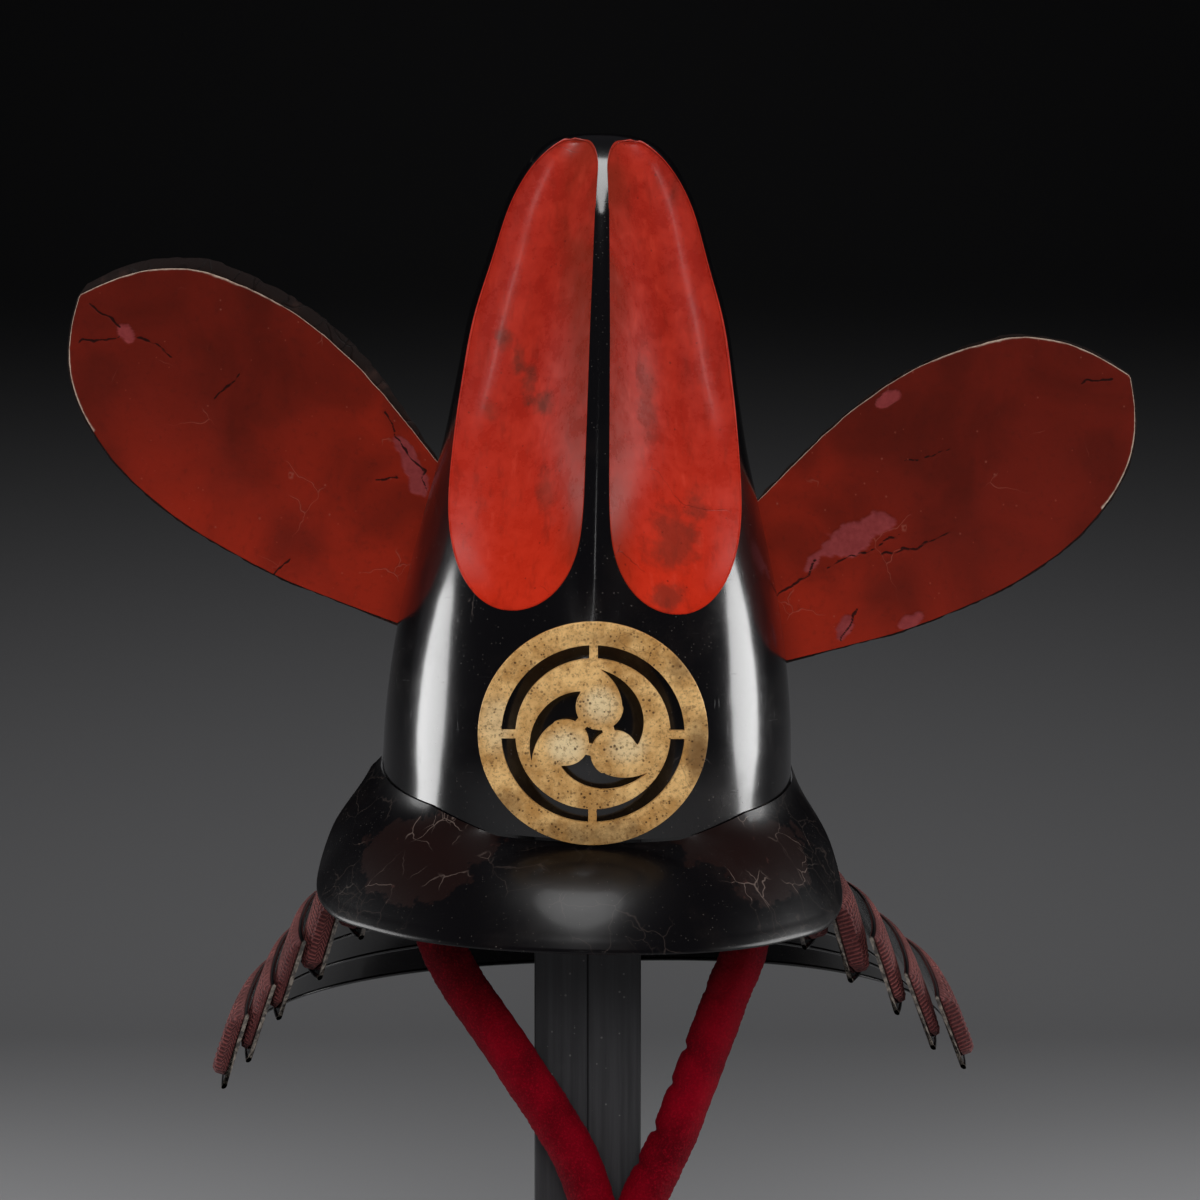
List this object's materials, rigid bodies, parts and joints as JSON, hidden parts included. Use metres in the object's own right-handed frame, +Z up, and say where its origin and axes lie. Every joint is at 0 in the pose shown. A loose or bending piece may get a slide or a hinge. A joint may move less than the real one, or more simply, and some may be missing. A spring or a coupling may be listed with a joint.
{
  "type": "kabuto samurai helmet on a post stand",
  "caption": "Tall eared kabuto in black, red and gold lacquer with visor, pierced crest, side wings, laced neck guard and tied chin cord, held up by a plain post stand.",
  "frame": {"origin": "the middle of the underside of the stand's base", "axes": "+Z up. The helmet's face looks towards -Y, so +Y runs to its back. +X is on the right of a viewer who stands in front of it. Names with left and right are the viewer's left and right."},
  "size_m": [0.5853, 0.383, 0.7345],
  "materials": {
    "black_lacquer": "glossy black lacquer, worn and finely cracked",
    "red_lacquer": "glossy vermilion lacquer",
    "wing_lacquer": "aged deep red-brown lacquer on hide, flaked",
    "wing_back_lacquer": "dark brown-black lacquer",
    "gilt": "aged gilding, speckled and stained",
    "silk_lacing": "dusty purple-brown silk braid",
    "crimson_crepe": "crimson crepe, padded",
    "stand_grey": "hardwood, painted matte charcoal grey"
  },
  "bodies": {
    "root": {"crown": "black_lacquer", "ear_hollow_left": "red_lacquer", "ear_hollow_right": "red_lacquer", "visor": "black_lacquer", "crest_disc": "gilt", "crest_pin": "black_lacquer", "wing_left_face": "wing_lacquer", "wing_left_back": "wing_back_lacquer", "wing_left_prong": "wing_back_lacquer", "wing_right_face": "wing_lacquer", "wing_right_back": "wing_back_lacquer", "wing_right_prong": "wing_back_lacquer", "neck_lame_1": "black_lacquer", "lacing_1": "silk_lacing", "neck_lame_2": "black_lacquer", "lacing_2": "silk_lacing", "neck_lame_3": "black_lacquer", "lacing_3": "silk_lacing", "neck_lame_4": "black_lacquer", "lacing_4": "silk_lacing", "neck_lame_5": "black_lacquer", "lacing_5": "silk_lacing", "cord_ring_left": "black_lacquer", "cord_ring_right": "black_lacquer", "chin_cord_left": "crimson_crepe", "chin_cord_right": "crimson_crepe", "chin_cord_knot": "crimson_crepe", "chin_cord_back": "crimson_crepe", "stand_head": "stand_grey", "stand_post_left": "stand_grey", "stand_post_right": "stand_grey", "stand_base": "stand_grey"}
  },
  "joints": []
}
